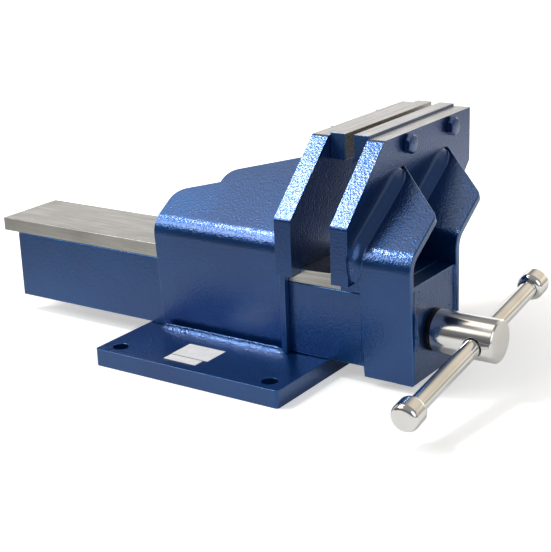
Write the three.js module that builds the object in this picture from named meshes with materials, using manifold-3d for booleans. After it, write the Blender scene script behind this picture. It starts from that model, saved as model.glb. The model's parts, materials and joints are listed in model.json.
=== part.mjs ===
// Fabricated offset bench vise, built from welded steel plate.
// Frame: millimetres, +Z up, +X along the slide towards the handle, +Y towards the side the jaws are offset to.
// Origin: centre of the base plate's underside.
// The vise rests with its jaws slightly open. The moving jaw slides along X, the screw turns about X inside it,
// and the handle bar slides through the screw's head.
import * as THREE from "three";
import { mergeVertices } from "three/addons/utils/BufferGeometryUtils.js";
import Module from "manifold-3d";

const wasm = await Module();
wasm.setup();

// ---------------------------------------------------------------- driving dimensions (mm and degrees)
const gap = 0.3; // between pieces that touch or are welded together
const past = 2; // how far a cutting solid runs past the face it cuts

// base plate
const baseLength = 246;
const baseWidth = 290;
const baseThickness = 20;
const baseCornerRadius = 4;
const mountHoleSpacingX = 202;
const mountHoleSpacingY = 253;
const mountHoleRadius = 9;

// slide: two side plates under a machined strip, open underneath
const slideWidth = 93.4;
const slideSideThickness = 8;
const nutHeadroom = 10.2; // between the nut's flange and the top of the slide's side plates
const slideUnderClearance = 0.5; // slide above the base plate
const stripThickness = 16;
const stripOverhang = 23; // strip past the rear ends of the slide's side plates
const slideLengthBehindGrip = 472; // strip's rear end behind the moving jaw's gripping face

// bent side plates of the fixed body
const bodyPlateThickness = 8;
const bodyPlateLength = 172.2;
const bodySideClearance = 0.5; // slide to body plates, each side
const bodyFrontTab = 4.5; // lower part of the body plates in front of the fixed jaw plate's rear face
const leanAngle = 32; // of the bent upper parts, above horizontal
const bendOuterRadius = 26;
const bendAboveKeeper = 2.3; // from the keeper plate's top to where the bent plates start to bend
const bodyTopEdgeAtRear = 51; // rear end of the body plates' top edge, up the leaning face from the bend
const bodyTopEdgeSlope = 22.6; // degrees, in the leaning face
const bodyRearCornerRadius = 22;

// keeper plate over the strip
const keeperThickness = 12;
const keeperClearance = 0.5;

// jaw plates: a rectangle with two opposite corners cropped
const jawPlateThickness = 20.5;
const jawPlateTop = 250.3; // above the underside of the base
const jawPlateBottom = 113;
const jawPlateNearEnd = -64.5;
const jawTopLength = 200;
const jawCropAcross = 79.1;
const jawCropHeight = 75.2;
const jawPlateRearFaceX = 70.5; // rear face of the fixed jaw plate
const jawNotchClearance = 0.5;

// inserts and their bolts
const insertThickness = 18.5;
const insertHeight = 29;
const insertProud = 2.8; // above the jaw plates
const insertSetBack = 3; // from the jaw plates' near top corner
const jawOpeningAtRest = 10.8;
const insertBoltSpacing = 100;
const insertBoltRadius = 6;
const insertBoltHexAcrossFlats = 19;
const insertBoltHeadHeight = 7.5;
const insertBoltDrop = 12.5; // bolt axis below the jaw plates' top
const insertBoltReach = 13; // into the insert
const boltHoleClearance = 0.4;

// moving jaw's box
const cheekThickness = 8;
const cheekFrontFromGrip = 106.8;
const cheekFootSetBack = 6.7; // below the jaw plate, the cheek's rear edge stands this far forward
const cheekKneeUpLean = 66; // sharp knee of the front edge, up the leaning face from the bend
const cheekApexUpLean = 131; // where the top edge meets the jaw plate
const cheekKneeRadius = 14;
const boxBottom = 9; // cheeks and front plate above the base's underside
const frontPlateThickness = 20;
const frontPlateRecess = 2; // behind the cheeks' front edges
const frontPlateDrop = 1; // below the strip's top

// screw
const screwAxisHeight = 58.3;
const screwRadius = 15;
const screwLength = 506; // from the head's socket floor to the tail
const screwTailChamfer = 3;
const spigotRadius = 12;
const spigotLength = 24;
const headRadius = 23.3;
const headLength = 71.3;
const headChamfer = 1.6;
const handleHoleFromHeadRear = 49.7;
const handleHoleRadius = 10.6;
const thrustWasherThickness = 4.4;
const thrustWasherRadius = 23;
const rearWasherThickness = 3;
const collarRadius = 22;
const collarLength = 14;
const collarPinRadius = 3;
const screwHoleClearance = 0.5;
const restTurn = 8.86; // degrees the screw has turned, so the bar rises towards +Y

// nut and its block on the base plate
const nutRearX = -60; // rear face of the block
const nutBlockLength = 44;
const nutBlockWidth = 68;
const nutBlockHeight = 72;
const nutBodyRadius = 23;
const nutFlangeRadius = 33;
const nutFlangeThickness = 8;
const nutScrewOffset = 28.2;
const nutScrewRadius = 2.5;
const nutScrewHeadRadius = 4.25;
const nutScrewHeadHeight = 5;
const nutScrewReach = 14;
const blockBoltOffset = 24;
const blockBoltRadius = 6;
const blockBoltHeadRadius = 9;
const blockBoltHeadHeight = 12;
const blockBoltReach = 18;

// handle
const handleRadius = 9.5;
const knobRadius = 15.3;
const knobLength = 26;
const knobEdgeRadius = 6.5;
const knobSocketDepth = 16;
const knobCentreSpacing = 287.3;
const handleShift = -13.25; // the bar's middle from the screw's axis, at rest

// blank labels on the base plate: length, width, centre x, centre y
const labelThickness = 0.4;
const labels = {
  blank_label_large: [49, 33, -12, -99.5],
  blank_label_small: [43, 13.5, -14.5, -124.5],
};

// ---------------------------------------------------------------- worked out from the driving dimensions
const rad = Math.PI / 180;
const slideHalf = slideWidth / 2;
const slideBottom = baseThickness + slideUnderClearance;
const slideSideTop = screwAxisHeight + nutFlangeRadius + nutHeadroom;
const stripBottom = slideSideTop + gap;
const stripTop = stripBottom + stripThickness;
const bodyPlateFrontX = jawPlateRearFaceX - gap;
const bodyPlateRearX = bodyPlateFrontX - bodyPlateLength;
const bodyInner = slideHalf + bodySideClearance;
const cheekInner = slideHalf + gap;
const fixedPlateFrontX = jawPlateRearFaceX + jawPlateThickness;
const fixedGripX = fixedPlateFrontX + gap + insertThickness;
const movingGripX = fixedGripX + jawOpeningAtRest;
const movingPlateRear = insertThickness + gap; // from the moving jaw's gripping face, as are the next ones
const movingPlateFront = movingPlateRear + jawPlateThickness;
const cheekRear = movingPlateFront + gap;
const frontPlateFront = cheekFrontFromGrip - frontPlateRecess;
const frontPlateRear = frontPlateFront - frontPlateThickness;
const headRear = frontPlateFront + gap + thrustWasherThickness + gap;
const jawFarEnd = jawPlateNearEnd + jawCropAcross + jawTopLength;
const insertNearEnd = jawPlateNearEnd + jawCropAcross + insertSetBack;
const insertTop = jawPlateTop + insertProud;
const insertBoltHeight = jawPlateTop - insertBoltDrop;
const insertMiddle = jawPlateNearEnd + jawCropAcross + jawTopLength / 2;
const insertBoltPlaces = [insertMiddle - insertBoltSpacing / 2, insertMiddle + insertBoltSpacing / 2];
const jawNotchTop = stripTop + jawNotchClearance;
const keeperHalf = bodyInner - gap;
const keeperBottom = stripTop + keeperClearance;
const keeperTop = keeperBottom + keeperThickness;
const bend = (90 - leanAngle) * rad; // turned through by a bent plate
const bendTangent = bendOuterRadius * Math.tan(bend / 2);
const bendHeight = keeperTop + bendAboveKeeper + bendTangent; // where a bent plate's flat outer faces would meet
const blockBottom = baseThickness + gap;
const nutBlockMiddleX = nutRearX + nutBlockLength / 2;

// ---------------------------------------------------------------- solids
// A manifold-3d solid of a closed three.js geometry.
function solid(geometry) {
  const bare = geometry.index ? geometry.toNonIndexed() : geometry.clone();
  bare.deleteAttribute("normal");
  bare.deleteAttribute("uv");
  const merged = mergeVertices(bare, 1e-3);
  const vertProperties = new Float32Array(merged.attributes.position.array);
  const triVerts = new Uint32Array(merged.index.array);
  return new wasm.Manifold(new wasm.Mesh({ numProp: 3, vertProperties, triVerts }));
}

// A three.js geometry of a manifold-3d solid.
function geometryOf(body) {
  const mesh = body.getMesh();
  const points = new Float32Array(mesh.numVert * 3);
  for (let i = 0; i < mesh.numVert; i++) {
    const start = i * mesh.numProp;
    points.set(mesh.vertProperties.subarray(start, start + 3), i * 3);
  }
  const geometry = new THREE.BufferGeometry();
  geometry.setAttribute("position", new THREE.BufferAttribute(points, 3));
  geometry.setIndex(new THREE.BufferAttribute(new Uint32Array(mesh.triVerts), 1));
  return geometry;
}

function block(x0, x1, y0, y1, z0, z1) {
  const box = new THREE.BoxGeometry(x1 - x0, y1 - y0, z1 - z0);
  box.translate((x0 + x1) / 2, (y0 + y1) / 2, (z0 + z1) / 2);
  return solid(box);
}

// A round bar along X, Y or Z from one station to the other, through the point (a, b) of the other two axes.
function roundBar(axis, radius, from, to, a = 0, b = 0, sides = 48) {
  const bar = new THREE.CylinderGeometry(radius, radius, to - from, sides);
  const middle = (from + to) / 2;
  if (axis === "x") {
    bar.rotateZ(-Math.PI / 2);
    bar.translate(middle, a, b);
  } else if (axis === "y") {
    bar.translate(a, middle, b);
  } else {
    bar.rotateX(Math.PI / 2);
    bar.translate(a, b, middle);
  }
  return solid(bar);
}

// A solid of revolution about X from points [x, radius].
function turned(profile, sides = 64) {
  const points = profile.map(([x, r]) => new THREE.Vector2(r, x));
  const lathe = new THREE.LatheGeometry(points, sides);
  lathe.rotateZ(-Math.PI / 2);
  return solid(lathe);
}

// A shape drawn in (y, z), extruded along X from x0 to x1.
function alongX(shape, x0, x1, curveSegments = 10) {
  const bar = new THREE.ExtrudeGeometry(shape, { depth: x1 - x0, bevelEnabled: false, curveSegments });
  const toYZ = new THREE.Matrix4().makeBasis(
    new THREE.Vector3(0, 1, 0),
    new THREE.Vector3(0, 0, 1),
    new THREE.Vector3(1, 0, 0),
  );
  bar.applyMatrix4(toYZ);
  bar.translate(x0, 0, 0);
  return solid(bar);
}

// A shape drawn in (x, y), extruded along Z from z0 to z1.
function alongZ(shape, z0, z1, curveSegments = 10) {
  const plate = new THREE.ExtrudeGeometry(shape, { depth: z1 - z0, bevelEnabled: false, curveSegments });
  plate.translate(0, 0, z0);
  return solid(plate);
}

// The directions of a leaning face: up its slope, and out of it towards -Y and up.
const upLean = new THREE.Vector3(0, Math.cos(leanAngle * rad), Math.sin(leanAngle * rad));
const outOfLean = new THREE.Vector3(0, -Math.sin(leanAngle * rad), Math.cos(leanAngle * rad));

// A cutter drawn on a leaning face in (x, distance up the slope from the bend), through the whole plate.
// outerY is where the plate's flat lower outer face stands.
function leanCutter(shape, outerY, plateThickness) {
  const depth = plateThickness + 2 * past;
  const cutter = new THREE.ExtrudeGeometry(shape, { depth, bevelEnabled: false, curveSegments: 10 });
  const along = new THREE.Vector3(1, 0, 0);
  const frame = new THREE.Matrix4().makeBasis(along, upLean, outOfLean);
  const start = new THREE.Vector3(0, outerY, bendHeight);
  start.addScaledVector(outOfLean, -plateThickness - past);
  frame.setPosition(start);
  cutter.applyMatrix4(frame);
  return solid(cutter);
}

// A bent plate: vertical from bottomZ, round the bend, then up the slope for leanLength.
function bentPlate(x0, x1, outerY, plateThickness, bottomZ, leanLength) {
  const centreY = outerY + bendOuterRadius;
  const centreZ = bendHeight - bendTangent;
  const innerRadius = bendOuterRadius - plateThickness;
  const straight = leanLength - bendTangent;
  const endAngle = Math.PI - bend;
  const shape = new THREE.Shape();
  shape.moveTo(outerY, bottomZ);
  shape.absarc(centreY, centreZ, bendOuterRadius, Math.PI, endAngle, true);
  const outerEndY = centreY + bendOuterRadius * Math.cos(endAngle) + straight * upLean.y;
  const outerEndZ = centreZ + bendOuterRadius * Math.sin(endAngle) + straight * upLean.z;
  shape.lineTo(outerEndY, outerEndZ);
  shape.lineTo(outerEndY - plateThickness * outOfLean.y, outerEndZ - plateThickness * outOfLean.z);
  shape.absarc(centreY, centreZ, innerRadius, endAngle, Math.PI, false);
  shape.lineTo(outerY + plateThickness, bottomZ);
  shape.closePath();
  return alongX(shape, x0, x1);
}

// The point on a rounded corner's side, and the corner drawn as a curve: corner at b between a and c.
function roundCorner(shape, a, b, c, radius) {
  const toA = new THREE.Vector2().subVectors(a, b).normalize();
  const toC = new THREE.Vector2().subVectors(c, b).normalize();
  const halfAngle = Math.acos(toA.dot(toC)) / 2;
  const back = radius / Math.tan(halfAngle);
  const middle = toA.clone().add(toC).normalize().multiplyScalar(radius / Math.sin(halfAngle)).add(b);
  const start = toA.multiplyScalar(back).add(b);
  const end = toC.multiplyScalar(back).add(b);
  const startAngle = Math.atan2(start.y - middle.y, start.x - middle.x);
  const endAngle = Math.atan2(end.y - middle.y, end.x - middle.x);
  const turn = Math.atan2(Math.sin(endAngle - startAngle), Math.cos(endAngle - startAngle));
  shape.absarc(middle.x, middle.y, radius, startAngle, startAngle + turn, turn < 0);
}

// ---------------------------------------------------------------- scene graph
const paint = { color: 0x1c3a80, roughness: 0.32, metalness: 0.35 };
const bareSteel = { color: 0xb4afa8, roughness: 0.38, metalness: 0.9 };
const chromed = { color: 0xd9d9dc, roughness: 0.12, metalness: 1.0 };
const darkSteel = { color: 0x2c2b2d, roughness: 0.5, metalness: 0.8 };
const plainSteel = { color: 0x86857f, roughness: 0.42, metalness: 0.9 };
const bronze = { color: 0xa8793a, roughness: 0.4, metalness: 0.95 };
const paper = { color: 0xe9e9ec, roughness: 0.6, metalness: 0.0 };

const vise = new THREE.Group();
const movingJaw = new THREE.Group();
movingJaw.position.set(movingGripX, 0, 0);
vise.add(movingJaw);
const screw = new THREE.Group();
screw.position.set(headRear, 0, screwAxisHeight);
screw.rotation.x = restTurn * rad;
movingJaw.add(screw);
const handle = new THREE.Group();
handle.position.set(handleHoleFromHeadRear, handleShift, 0);
screw.add(handle);

function addPiece(group, name, body, finish) {
  const mesh = new THREE.Mesh(geometryOf(body), new THREE.MeshStandardMaterial(finish));
  mesh.name = name;
  group.add(mesh);
}

// ---------------------------------------------------------------- base plate and labels
function basePlate() {
  const x = baseLength / 2;
  const y = baseWidth / 2;
  const r = baseCornerRadius;
  const outline = new THREE.Shape();
  outline.moveTo(-x + r, -y);
  outline.absarc(x - r, -y + r, r, -Math.PI / 2, 0, false);
  outline.absarc(x - r, y - r, r, 0, Math.PI / 2, false);
  outline.absarc(-x + r, y - r, r, Math.PI / 2, Math.PI, false);
  outline.absarc(-x + r, -y + r, r, Math.PI, 1.5 * Math.PI, false);
  let plate = alongZ(outline, 0, baseThickness, 4);
  for (const sideX of [-1, 1]) {
    for (const sideY of [-1, 1]) {
      const holeX = (sideX * mountHoleSpacingX) / 2;
      const holeY = (sideY * mountHoleSpacingY) / 2;
      const hole = roundBar("z", mountHoleRadius, -past, baseThickness + past, holeX, holeY, 32);
      plate = plate.subtract(hole);
    }
  }
  for (const side of [-1, 1]) {
    const y0 = side * blockBoltOffset;
    const shank = blockBoltRadius + boltHoleClearance;
    const head = blockBoltHeadRadius + boltHoleClearance;
    const floor = blockBoltHeadHeight + gap;
    plate = plate.subtract(roundBar("z", shank, -past, baseThickness + past, nutBlockMiddleX, y0, 24));
    plate = plate.subtract(roundBar("z", head, -past, floor, nutBlockMiddleX, y0, 32));
  }
  return plate;
}
addPiece(vise, "base_plate", basePlate(), paint);

for (const [name, [length, width, x, y]] of Object.entries(labels)) {
  const bottom = baseThickness + gap;
  const top = bottom + labelThickness;
  addPiece(vise, name, block(x - length / 2, x + length / 2, y - width / 2, y + width / 2, bottom, top), paper);
}

// ---------------------------------------------------------------- fixed body: bent side plates and keeper
function bodySidePlate(outerY) {
  const slope = bodyTopEdgeSlope * rad;
  const topAtFront = bodyTopEdgeAtRear + bodyPlateLength * Math.tan(slope);
  const leanLength = topAtFront + past;
  const upper = bentPlate(bodyPlateRearX, bodyPlateFrontX, outerY, bodyPlateThickness, blockBottom, leanLength);
  const corner = new THREE.Shape();
  const rearLow = new THREE.Vector2(bodyPlateRearX, 0);
  const rearTop = new THREE.Vector2(bodyPlateRearX, bodyTopEdgeAtRear);
  const front = new THREE.Vector2(bodyPlateFrontX + past, topAtFront + past * Math.tan(slope));
  corner.moveTo(bodyPlateRearX - past, 0);
  corner.lineTo(bodyPlateRearX, 0);
  roundCorner(corner, rearLow, rearTop, front, bodyRearCornerRadius);
  corner.lineTo(front.x, front.y);
  corner.lineTo(front.x, leanLength + past);
  corner.lineTo(bodyPlateRearX - past, leanLength + past);
  corner.closePath();
  const tabTop = jawPlateBottom - gap;
  const tabFront = jawPlateRearFaceX + bodyFrontTab;
  const tab = block(
    bodyPlateFrontX - past,
    tabFront,
    outerY,
    outerY + bodyPlateThickness,
    blockBottom,
    tabTop,
  );
  return upper.subtract(leanCutter(corner, outerY, bodyPlateThickness)).add(tab);
}
addPiece(vise, "body_side_near", bodySidePlate(-bodyInner - bodyPlateThickness), paint);
addPiece(vise, "body_side_far", bodySidePlate(bodyInner), paint);

addPiece(
  vise,
  "slide_keeper_plate",
  block(bodyPlateRearX, bodyPlateFrontX, -keeperHalf, keeperHalf, keeperBottom, keeperTop),
  paint,
);

// ---------------------------------------------------------------- jaw plates, inserts and insert bolts
function jawPlate(rearX) {
  const outline = new THREE.Shape();
  outline.moveTo(jawPlateNearEnd, jawPlateBottom);
  outline.lineTo(-bodyInner, jawPlateBottom);
  outline.lineTo(-bodyInner, jawNotchTop);
  outline.lineTo(bodyInner, jawNotchTop);
  outline.lineTo(bodyInner, jawPlateBottom);
  outline.lineTo(jawFarEnd - jawCropAcross, jawPlateBottom);
  outline.lineTo(jawFarEnd, jawPlateBottom + jawCropHeight);
  outline.lineTo(jawFarEnd, jawPlateTop);
  outline.lineTo(jawPlateNearEnd + jawCropAcross, jawPlateTop);
  outline.lineTo(jawPlateNearEnd, jawPlateTop - jawCropHeight);
  outline.closePath();
  let plate = alongX(outline, rearX, rearX + jawPlateThickness);
  for (const y of insertBoltPlaces) {
    const hole = insertBoltRadius + boltHoleClearance;
    const end = rearX + jawPlateThickness + past;
    plate = plate.subtract(roundBar("x", hole, rearX - past, end, y, insertBoltHeight, 32));
  }
  return plate;
}

// An insert from x0, with a blind bolt hole in the face at holeMouthX, bored in the direction into.
function jawInsert(x0, holeMouthX, into) {
  let bar = block(x0, x0 + insertThickness, insertNearEnd, jawFarEnd, insertTop - insertHeight, insertTop);
  for (const y of insertBoltPlaces) {
    const stations = [holeMouthX - into * past, holeMouthX + into * (insertBoltReach + 1)];
    const hole = insertBoltRadius + boltHoleClearance;
    bar = bar.subtract(roundBar("x", hole, Math.min(...stations), Math.max(...stations), y, insertBoltHeight, 32));
  }
  return bar;
}

// A hexagon-head bolt whose head rests on the face at faceX, with its shank in the direction into.
function insertBolt(faceX, into, y) {
  const shankLength = gap + jawPlateThickness + gap + insertBoltReach;
  const headX = faceX - into * gap;
  const headRadiusAcrossCorners = insertBoltHexAcrossFlats / Math.sqrt(3);
  const head = [headX - into * insertBoltHeadHeight, headX];
  const shank = [headX - into, headX + into * shankLength];
  const hexagon = roundBar(
    "x",
    headRadiusAcrossCorners,
    Math.min(...head),
    Math.max(...head),
    y,
    insertBoltHeight,
    6,
  );
  return hexagon.add(
    roundBar("x", insertBoltRadius, Math.min(...shank), Math.max(...shank), y, insertBoltHeight, 24),
  );
}

addPiece(vise, "fixed_jaw_plate", jawPlate(jawPlateRearFaceX), paint);
addPiece(vise, "fixed_jaw_insert", jawInsert(fixedPlateFrontX + gap, fixedPlateFrontX + gap, 1), bareSteel);
addPiece(movingJaw, "moving_jaw_plate", jawPlate(movingPlateRear), paint);
addPiece(movingJaw, "moving_jaw_insert", jawInsert(0, insertThickness, -1), bareSteel);
insertBoltPlaces.forEach((y, i) => {
  addPiece(vise, `fixed_insert_bolt_${i + 1}`, insertBolt(jawPlateRearFaceX, 1, y), paint);
  addPiece(movingJaw, `moving_insert_bolt_${i + 1}`, insertBolt(movingPlateFront, -1, y), paint);
});

// ---------------------------------------------------------------- slide
const stripRear = -slideLengthBehindGrip;
const slideSideRear = stripRear + stripOverhang;
const slideFront = frontPlateRear - gap;
addPiece(movingJaw, "wear_strip", block(stripRear, slideFront, -slideHalf, slideHalf, stripBottom, stripTop), bareSteel);
for (const [name, side] of [
  ["slide_side_near", -1],
  ["slide_side_far", 1],
]) {
  const faces = [side * slideHalf, side * (slideHalf - slideSideThickness)];
  const y0 = Math.min(...faces);
  const y1 = Math.max(...faces);
  addPiece(movingJaw, name, block(slideSideRear, slideFront, y0, y1, slideBottom, slideSideTop), paint);
}

// ---------------------------------------------------------------- moving jaw's box: cheeks and front plate
function cheek(outerY) {
  const leanLength = cheekApexUpLean + past;
  const upper = bentPlate(cheekRear, cheekFrontFromGrip, outerY, cheekThickness, boxBottom, leanLength);
  const corner = new THREE.Shape();
  const low = new THREE.Vector2(cheekFrontFromGrip, 0);
  const knee = new THREE.Vector2(cheekFrontFromGrip, cheekKneeUpLean);
  const apex = new THREE.Vector2(cheekRear, cheekApexUpLean);
  const beyond = apex.clone().sub(knee).setLength(past).add(apex);
  corner.moveTo(cheekFrontFromGrip + past, 0);
  corner.lineTo(low.x, low.y);
  roundCorner(corner, low, knee, apex, cheekKneeRadius);
  corner.lineTo(beyond.x, beyond.y);
  corner.lineTo(beyond.x, leanLength + past);
  corner.lineTo(cheekFrontFromGrip + past, leanLength + past);
  corner.closePath();
  const foot = block(
    cheekRear - past,
    cheekRear + cheekFootSetBack,
    outerY - past,
    outerY + cheekThickness + past,
    boxBottom - past,
    jawPlateBottom,
  );
  return upper.subtract(leanCutter(corner, outerY, cheekThickness)).subtract(foot);
}
addPiece(movingJaw, "cheek_near", cheek(-cheekInner - cheekThickness), paint);
addPiece(movingJaw, "cheek_far", cheek(cheekInner), paint);

const frontPlateTop = stripTop - frontPlateDrop;
const frontPlate = block(
  frontPlateRear,
  frontPlateFront,
  -cheekInner + gap,
  cheekInner - gap,
  boxBottom,
  frontPlateTop,
).subtract(
  roundBar(
    "x",
    screwRadius + screwHoleClearance,
    frontPlateRear - past,
    frontPlateFront + past,
    0,
    screwAxisHeight,
  ),
);
addPiece(movingJaw, "front_plate", frontPlate, paint);

// A washer about the screw's axis.
function washer(x0, x1, outerRadius) {
  const hole = screwRadius + screwHoleClearance;
  const disc = roundBar("x", outerRadius, x0, x1, 0, screwAxisHeight);
  return disc.subtract(roundBar("x", hole, x0 - past, x1 + past, 0, screwAxisHeight));
}
const thrustWasherRear = frontPlateFront + gap;
addPiece(
  movingJaw,
  "thrust_washer",
  washer(thrustWasherRear, thrustWasherRear + thrustWasherThickness, thrustWasherRadius),
  darkSteel,
);
const rearWasherFront = frontPlateRear - gap;
addPiece(
  movingJaw,
  "rear_thrust_washer",
  washer(rearWasherFront - rearWasherThickness, rearWasherFront, collarRadius),
  darkSteel,
);

// ---------------------------------------------------------------- screw, in its own group: x = 0 at the head's rear
const screwFront = spigotLength - gap;
const screwTail = screwFront - screwLength;
const collarFront = rearWasherFront - rearWasherThickness - gap - headRear;
const collarRear = collarFront - collarLength;
const collarMiddle = (collarFront + collarRear) / 2;
const pinHole = collarPinRadius + gap;

const leadScrew = turned([
  [screwTail, 0],
  [screwTail, screwRadius - screwTailChamfer],
  [screwTail + screwTailChamfer, screwRadius],
  [-gap, screwRadius],
  [-gap, spigotRadius],
  [screwFront, spigotRadius],
  [screwFront, 0],
]).subtract(roundBar("z", pinHole, -screwRadius - past, screwRadius + past, collarMiddle, 0, 24));
addPiece(screw, "lead_screw", leadScrew, plainSteel);

const screwHead = turned([
  [0, spigotRadius + gap],
  [0, headRadius - headChamfer],
  [headChamfer, headRadius],
  [headLength - headChamfer, headRadius],
  [headLength, headRadius - headChamfer],
  [headLength, 0],
  [spigotLength, 0],
  [spigotLength, spigotRadius + gap],
  [0, spigotRadius + gap],
]).subtract(
  roundBar("y", handleHoleRadius, -headRadius - past, headRadius + past, handleHoleFromHeadRear, 0),
);
addPiece(screw, "screw_head", screwHead, chromed);

const collar = roundBar("x", collarRadius, collarRear, collarFront)
  .subtract(roundBar("x", screwRadius + gap, collarRear - past, collarFront + past))
  .subtract(roundBar("z", pinHole, -collarRadius - past, collarRadius + past, collarMiddle, 0, 24));
addPiece(screw, "retaining_collar", collar, plainSteel);
const pinHalf = collarRadius - 1;
addPiece(screw, "collar_pin", roundBar("z", collarPinRadius, -pinHalf, pinHalf, collarMiddle, 0, 24), plainSteel);

// ---------------------------------------------------------------- nut block, nut and their screws
const blockHalf = nutBlockWidth / 2;
const nutBlockFrontX = nutRearX + nutBlockLength;
let nutBlock = block(nutRearX, nutBlockFrontX, -blockHalf, blockHalf, blockBottom, blockBottom + nutBlockHeight);
nutBlock = nutBlock.subtract(
  roundBar("x", nutBodyRadius + gap, nutRearX - past, nutBlockFrontX + past, 0, screwAxisHeight),
);
const flangeFrontX = nutRearX - gap;
const flangeRearX = flangeFrontX - nutFlangeThickness;
let nut = roundBar("x", nutBodyRadius, flangeRearX, nutBlockFrontX, 0, screwAxisHeight)
  .add(roundBar("x", nutFlangeRadius, flangeRearX, flangeFrontX, 0, screwAxisHeight))
  .subtract(
    roundBar(
      "x",
      screwRadius + screwHoleClearance,
      flangeRearX - past,
      nutBlockFrontX + past,
      0,
      screwAxisHeight,
    ),
  );
[-1, 1].forEach((side, i) => {
  const y = side * nutScrewOffset;
  const hole = nutScrewRadius + boltHoleClearance;
  const screwEnd = nutRearX + nutScrewReach;
  nut = nut.subtract(roundBar("x", hole, flangeRearX - past, flangeFrontX + past, y, screwAxisHeight, 20));
  nutBlock = nutBlock.subtract(roundBar("x", hole, nutRearX - past, screwEnd + 1, y, screwAxisHeight, 20));
  const headX = flangeRearX - gap;
  const capScrew = roundBar("x", nutScrewHeadRadius, headX - nutScrewHeadHeight, headX, y, screwAxisHeight, 24).add(
    roundBar("x", nutScrewRadius, headX - 1, screwEnd, y, screwAxisHeight, 20),
  );
  addPiece(vise, `nut_flange_screw_${i + 1}`, capScrew, darkSteel);

  const boltY = side * blockBoltOffset;
  const boltHole = blockBoltRadius + boltHoleClearance;
  const boltEnd = blockBottom + blockBoltReach;
  nutBlock = nutBlock.subtract(
    roundBar("z", boltHole, blockBottom - past, boltEnd + 1, nutBlockMiddleX, boltY, 24),
  );
  const blockBolt = roundBar("z", blockBoltHeadRadius, gap, blockBoltHeadHeight, nutBlockMiddleX, boltY, 32).add(
    roundBar("z", blockBoltRadius, blockBoltHeadHeight - 1, boltEnd, nutBlockMiddleX, boltY, 24),
  );
  addPiece(vise, `nut_block_bolt_${i + 1}`, blockBolt, darkSteel);
});
addPiece(vise, "nut_block", nutBlock, plainSteel);
addPiece(vise, "screw_nut", nut, bronze);

// ---------------------------------------------------------------- handle, in its own group: y = 0 at the bar's middle
const knobInner = knobCentreSpacing / 2 - knobLength / 2;
const barEnd = knobInner + knobSocketDepth - gap;
addPiece(handle, "handle_bar", roundBar("y", handleRadius, -barEnd, barEnd, 0, 0, 40), chromed);

// A knob from x = 0, where the bar enters it, to its flat end.
function knob() {
  const corner = (centreX, startAngle) => {
    const steps = 6;
    const points = [];
    for (let i = 0; i <= steps; i++) {
      const angle = startAngle - (i / steps) * (Math.PI / 2);
      const r = knobRadius - knobEdgeRadius + knobEdgeRadius * Math.sin(angle);
      points.push([centreX + knobEdgeRadius * Math.cos(angle), r]);
    }
    return points;
  };
  const socket = handleRadius + gap;
  return turned([
    [knobSocketDepth, 0],
    [knobSocketDepth, socket],
    [0, socket],
    ...corner(knobEdgeRadius, Math.PI).filter(([, r]) => r > socket),
    ...corner(knobLength - knobEdgeRadius, Math.PI / 2),
    [knobLength, 0],
  ]);
}
const knobGeometry = geometryOf(knob());
for (const [name, side] of [
  ["handle_knob_near", -1],
  ["handle_knob_far", 1],
]) {
  const mesh = new THREE.Mesh(knobGeometry, new THREE.MeshStandardMaterial(chromed));
  mesh.name = name;
  mesh.position.set(0, side * knobInner, 0);
  mesh.rotation.z = (side * Math.PI) / 2;
  handle.add(mesh);
}

export default vise;
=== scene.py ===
import json
import math

import bmesh
import bpy
from mathutils import Matrix, Vector


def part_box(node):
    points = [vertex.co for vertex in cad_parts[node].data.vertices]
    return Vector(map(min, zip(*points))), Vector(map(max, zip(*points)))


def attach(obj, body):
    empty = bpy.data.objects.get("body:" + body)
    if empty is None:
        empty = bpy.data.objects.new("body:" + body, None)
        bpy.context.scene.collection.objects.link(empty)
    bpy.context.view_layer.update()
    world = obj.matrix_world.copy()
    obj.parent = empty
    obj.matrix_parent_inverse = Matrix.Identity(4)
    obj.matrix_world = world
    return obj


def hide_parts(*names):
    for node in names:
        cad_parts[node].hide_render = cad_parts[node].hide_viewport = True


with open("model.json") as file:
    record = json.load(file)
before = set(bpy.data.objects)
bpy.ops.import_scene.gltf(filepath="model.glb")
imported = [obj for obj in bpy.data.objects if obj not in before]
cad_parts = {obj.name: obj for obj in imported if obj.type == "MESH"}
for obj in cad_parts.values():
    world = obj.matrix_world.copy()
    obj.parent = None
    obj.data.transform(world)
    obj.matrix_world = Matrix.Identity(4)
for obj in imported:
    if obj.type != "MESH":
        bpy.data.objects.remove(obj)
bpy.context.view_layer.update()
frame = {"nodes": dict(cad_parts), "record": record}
nodes = frame["nodes"]
record = frame["record"]
slot_of = {part["node"]: part["material_slot"] for part in record["subparts"]}
body_of = {name: body for body, members in record["behaviour"]["bodies"].items() for name in members}

MM = 0.001

# ---------------------------------------------------------------- sizes of the finish, in metres and radians

# how far each kind of piece's edges are rounded
edge_of_slot = {
    "blue_paint": 1.3 * MM,
    "bare_steel": 0.6 * MM,
    "chrome": 0.5 * MM,
    "plain_steel": 0.5 * MM,
    "dark_steel": 0.4 * MM,
    "bronze": 0.4 * MM,
    "label": 0.0,
}
edge_steps = 3
merge_distance = 0.01 * MM
flat_enough = math.radians(0.6)  # faces that turn less than this are one face
sharp_angle = math.radians(30)  # edges that turn more than this are rounded
shading_break = math.radians(40)  # edges that turn more than this stay sharp to the eye
bare_strip_end = 1.0 * MM  # the strip is painted from this far in front of the moving jaw plate's rear face

# the blunt corners where a jaw plate's cropped corner meets its upright end and its foot
knee_radius = 6.0 * MM
knee_turn = math.radians(44)
knee_steps = 5

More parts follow.
